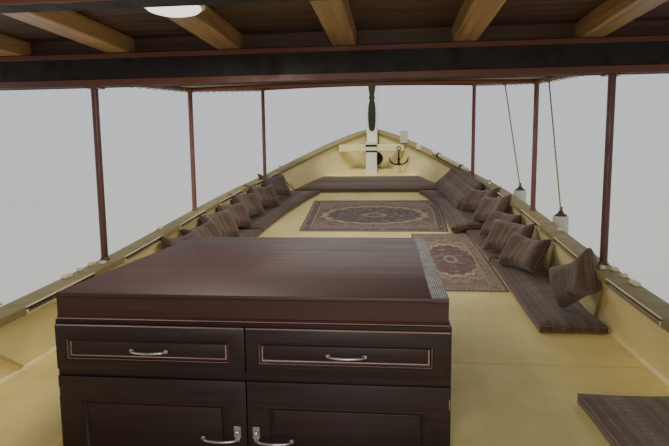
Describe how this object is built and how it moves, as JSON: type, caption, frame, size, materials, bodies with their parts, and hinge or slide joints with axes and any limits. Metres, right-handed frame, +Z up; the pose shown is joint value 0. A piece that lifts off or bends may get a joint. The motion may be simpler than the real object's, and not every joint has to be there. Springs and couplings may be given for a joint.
{
  "type": "covered motor cruising dhow",
  "caption": "Wooden cruising dhow afloat, with a roofed open deck, forward awning, serving counter, deck mattresses, deckhouse, tall stem, rudder and propeller.",
  "frame": {"origin": "on the waterline amidships, on the centre plane", "axes": "+X to starboard, +Y towards the bow, +Z up"},
  "size_m": [6.85, 21.23, 7.4623],
  "materials": {
    "hull_paint": "painted planks, satin",
    "bottom_paint": "matt bottom paint",
    "maroon_paint": "satin paint",
    "cream_paint": "satin paint",
    "rail_paint": "satin paint",
    "white_paint": "satin paint",
    "dark_wood": "varnish",
    "ochre_wood": "varnish",
    "steel": "brushed",
    "bronze": "cast",
    "black_iron": "black paint",
    "engine_grey": "grey paint",
    "lamp_glass": "opal",
    "awning_cloth": "canvas",
    "mattress_cloth": "woven stripes",
    "carpet_pile": "woven pile",
    "fender_rubber": "matt"
  },
  "bodies": {
    "boat": {"hull": "hull_paint", "hull_topsides": "hull_paint", "hull_topsides_aft": "hull_paint", "keel": "bottom_paint", "stem": "hull_paint", "stem_head": "white_paint", "deadwood": "bottom_paint", "sternpost": "bottom_paint", "transom": "hull_paint", "wale_port": "maroon_paint", "wale_starboard": "maroon_paint", "engine_block": "engine_grey", "deck": "cream_paint", "cockpit_floor": "cream_paint", "cockpit_walls": "cream_paint", "bulwark_port": "cream_paint", "bulwark_starboard": "cream_paint", "cap_rail_port": "rail_paint", "cap_rail_starboard": "rail_paint", "roof_portal_1": "maroon_paint", "roof_portal_2": "maroon_paint", "roof_portal_3": "maroon_paint", "roof_portal_4": "maroon_paint", "roof_portal_5": "maroon_paint", "roof_deck": "ochre_wood", "roof_rail": "white_paint", "roof_ladder": "steel", "signal_mast": "white_paint", "ceiling_lamp": "lamp_glass", "awning_frame": "maroon_paint", "awning": "awning_cloth", "cabin_front": "white_paint", "cabin_port": "white_paint", "cabin_starboard": "white_paint", "cabin_aft": "white_paint", "helm_console": "dark_wood", "counter_body": "dark_wood", "counter_top": "dark_wood", "counter_edge_strip": "steel", "mattress_port_fore": "mattress_cloth", "mattress_starboard_aft": "mattress_cloth", "mattress_starboard_fore": "mattress_cloth", "mattress_bow": "mattress_cloth", "back_cushions_port": "mattress_cloth", "back_cushions_starboard": "mattress_cloth", "carpet_near": "carpet_pile", "carpet_far": "carpet_pile", "bow_bitt": "white_paint", "rail_spar": "cream_paint", "grapnel_anchor": "black_iron", "fender_1": "fender_rubber", "fender_2": "fender_rubber"},
    "rudder": {"rudder": "bottom_paint"},
    "propeller": {"propeller": "bronze"},
    "helm_wheel": {"helm_wheel": "ochre_wood"},
    "drawer_left": {"drawer_left": "dark_wood"},
    "drawer_right": {"drawer_right": "dark_wood"},
    "cupboard_door_left": {"cupboard_door_left": "dark_wood"},
    "cupboard_door_right": {"cupboard_door_right": "dark_wood"},
    "cabin_door": {"cabin_door": "dark_wood"}
  },
  "joints": [
    {"name": "rudder_swing", "type": "hinge", "parent": "boat", "child": "rudder", "pos_m": [0, -10.16, -0.3], "axis": [0, 0, 1], "range_deg": [-35, 35]},
    {"name": "propeller_spin", "type": "hinge", "parent": "boat", "child": "propeller", "pos_m": [0, -9.52, -0.6], "axis": [0, 1, 0], "continuous": true},
    {"name": "helm_turn", "type": "hinge", "parent": "boat", "child": "helm_wheel", "pos_m": [-0.45, -6.85, 1.95], "axis": [0, 1, 0], "range_deg": [-540, 540]},
    {"name": "drawer_left_slide", "type": "slide", "parent": "boat", "child": "drawer_left", "axis": [0, -1, 0], "range_m": [0, 0.38]},
    {"name": "drawer_right_slide", "type": "slide", "parent": "boat", "child": "drawer_right", "axis": [0, -1, 0], "range_m": [0, 0.38]},
    {"name": "cupboard_left_swing", "type": "hinge", "parent": "boat", "child": "cupboard_door_left", "pos_m": [-1.454, -0.462, 1.0335], "axis": [0, 0, -1], "range_deg": [0, 90]},
    {"name": "cupboard_right_swing", "type": "hinge", "parent": "boat", "child": "cupboard_door_right", "pos_m": [0.774, -0.462, 1.0335], "axis": [0, 0, 1], "range_deg": [0, 90]},
    {"name": "cabin_door_swing", "type": "hinge", "parent": "boat", "child": "cabin_door", "pos_m": [1.1196, -6.4, 2.175], "axis": [0, 0, -1], "range_deg": [0, 110]}
  ],
  "couplings": [
    {"joint": "helm_turn", "follows": "rudder_swing", "ratio": 15.4}
  ]
}
